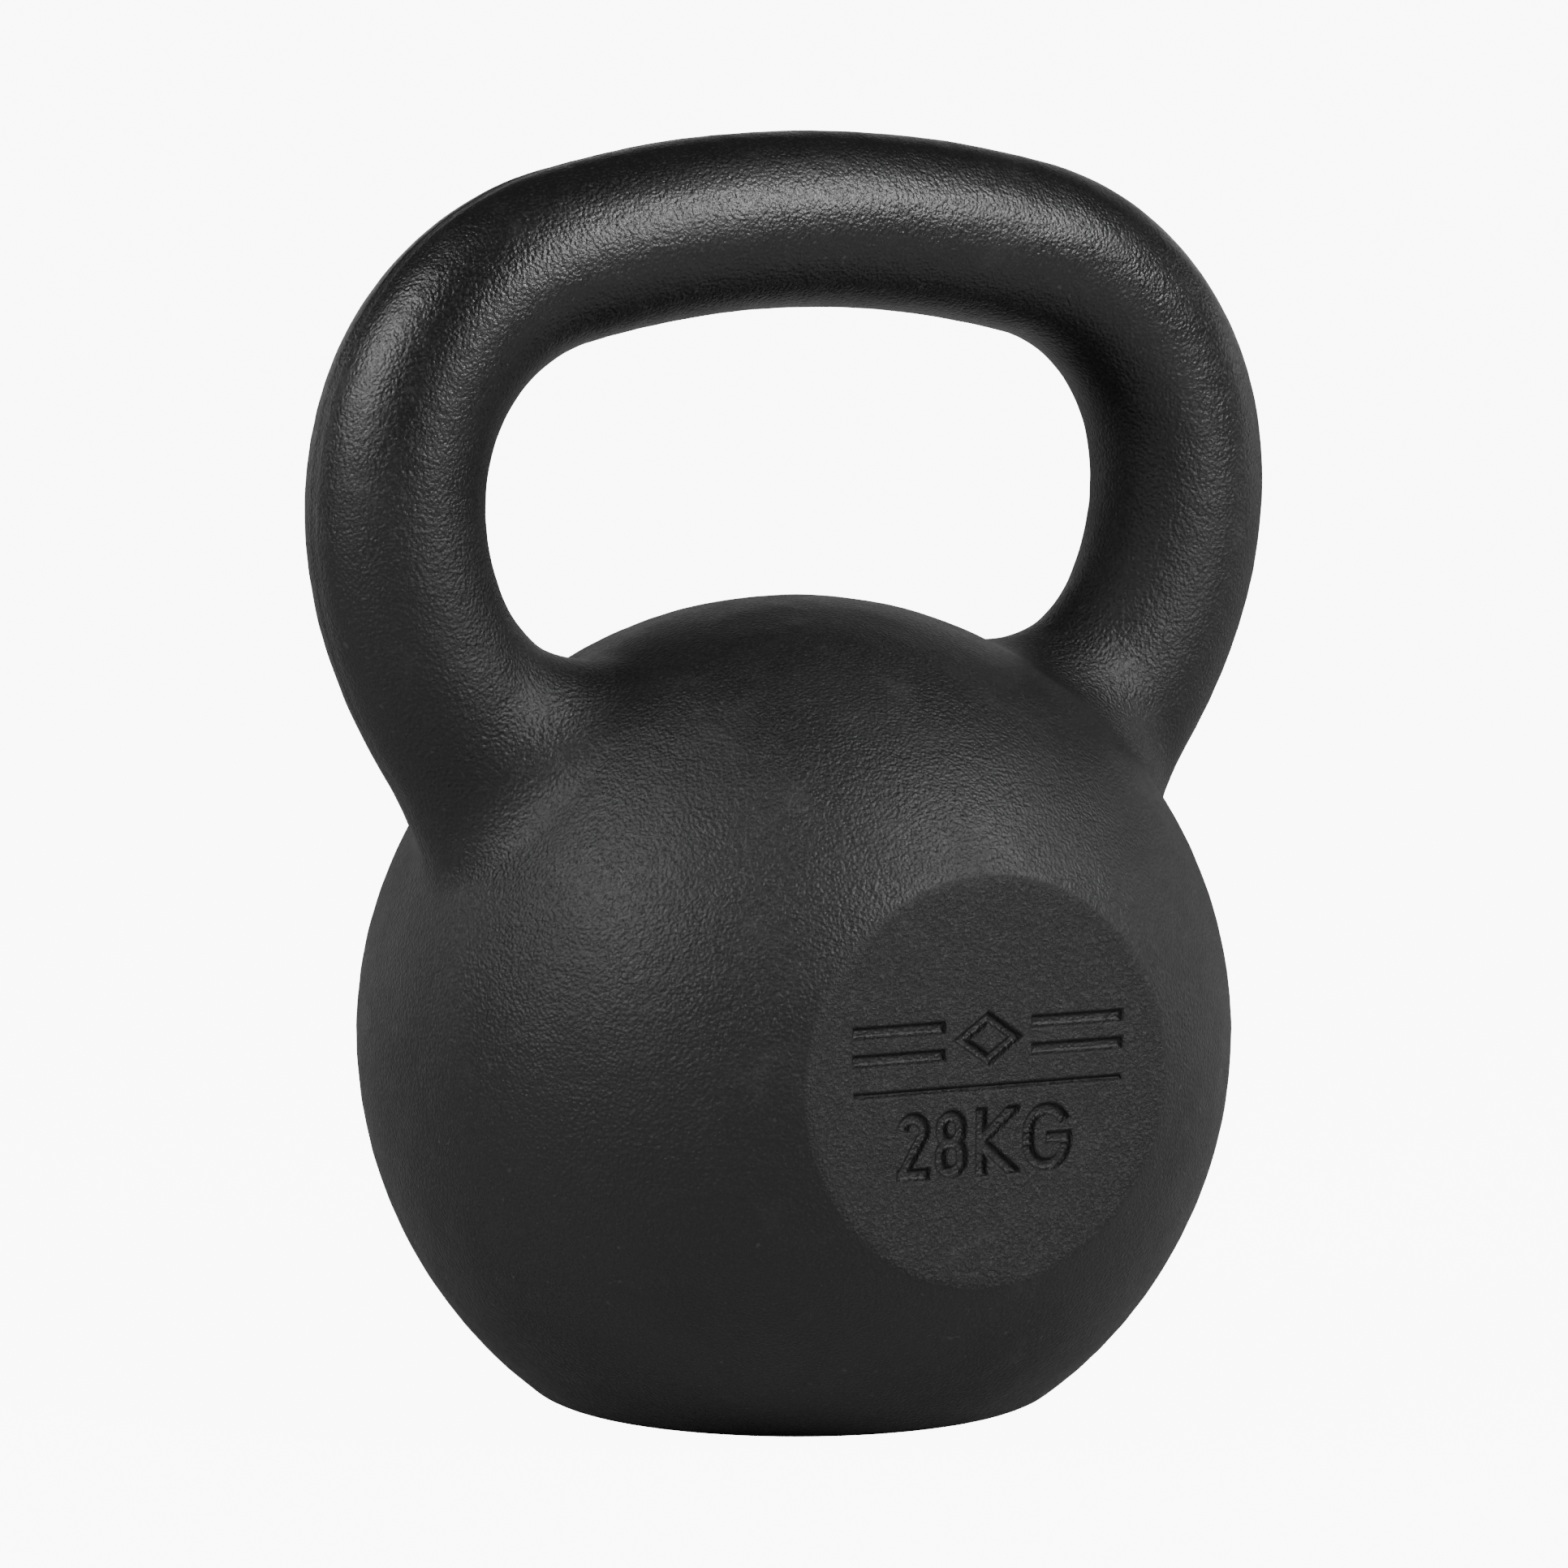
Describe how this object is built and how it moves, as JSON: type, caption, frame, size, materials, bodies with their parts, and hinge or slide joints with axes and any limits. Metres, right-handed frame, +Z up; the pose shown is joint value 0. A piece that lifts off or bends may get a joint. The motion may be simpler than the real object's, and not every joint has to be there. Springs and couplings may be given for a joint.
{
  "type": "kettlebell",
  "caption": "Solid cast-iron kettlebell: a ball on a flat foot with a wide arched handle, a flat marked facet in front and a black textured coat.",
  "frame": {"origin": "centre of the flat foot, on the floor", "axes": "+Z up; +X to the right of someone who faces the marked facet, which is at -Y; the handle lies in the XZ plane"},
  "size_m": [0.2286, 0.1789, 0.2738],
  "materials": {
    "coated_iron": "black powder coat with a fine wrinkled grain, satin on the handle and more matte on the ball and the facet"
  },
  "bodies": {
    "root": {"bell": "coated_iron", "left_horn": "coated_iron", "right_horn": "coated_iron", "left_corner": "coated_iron", "right_corner": "coated_iron", "grip": "coated_iron"}
  },
  "joints": []
}
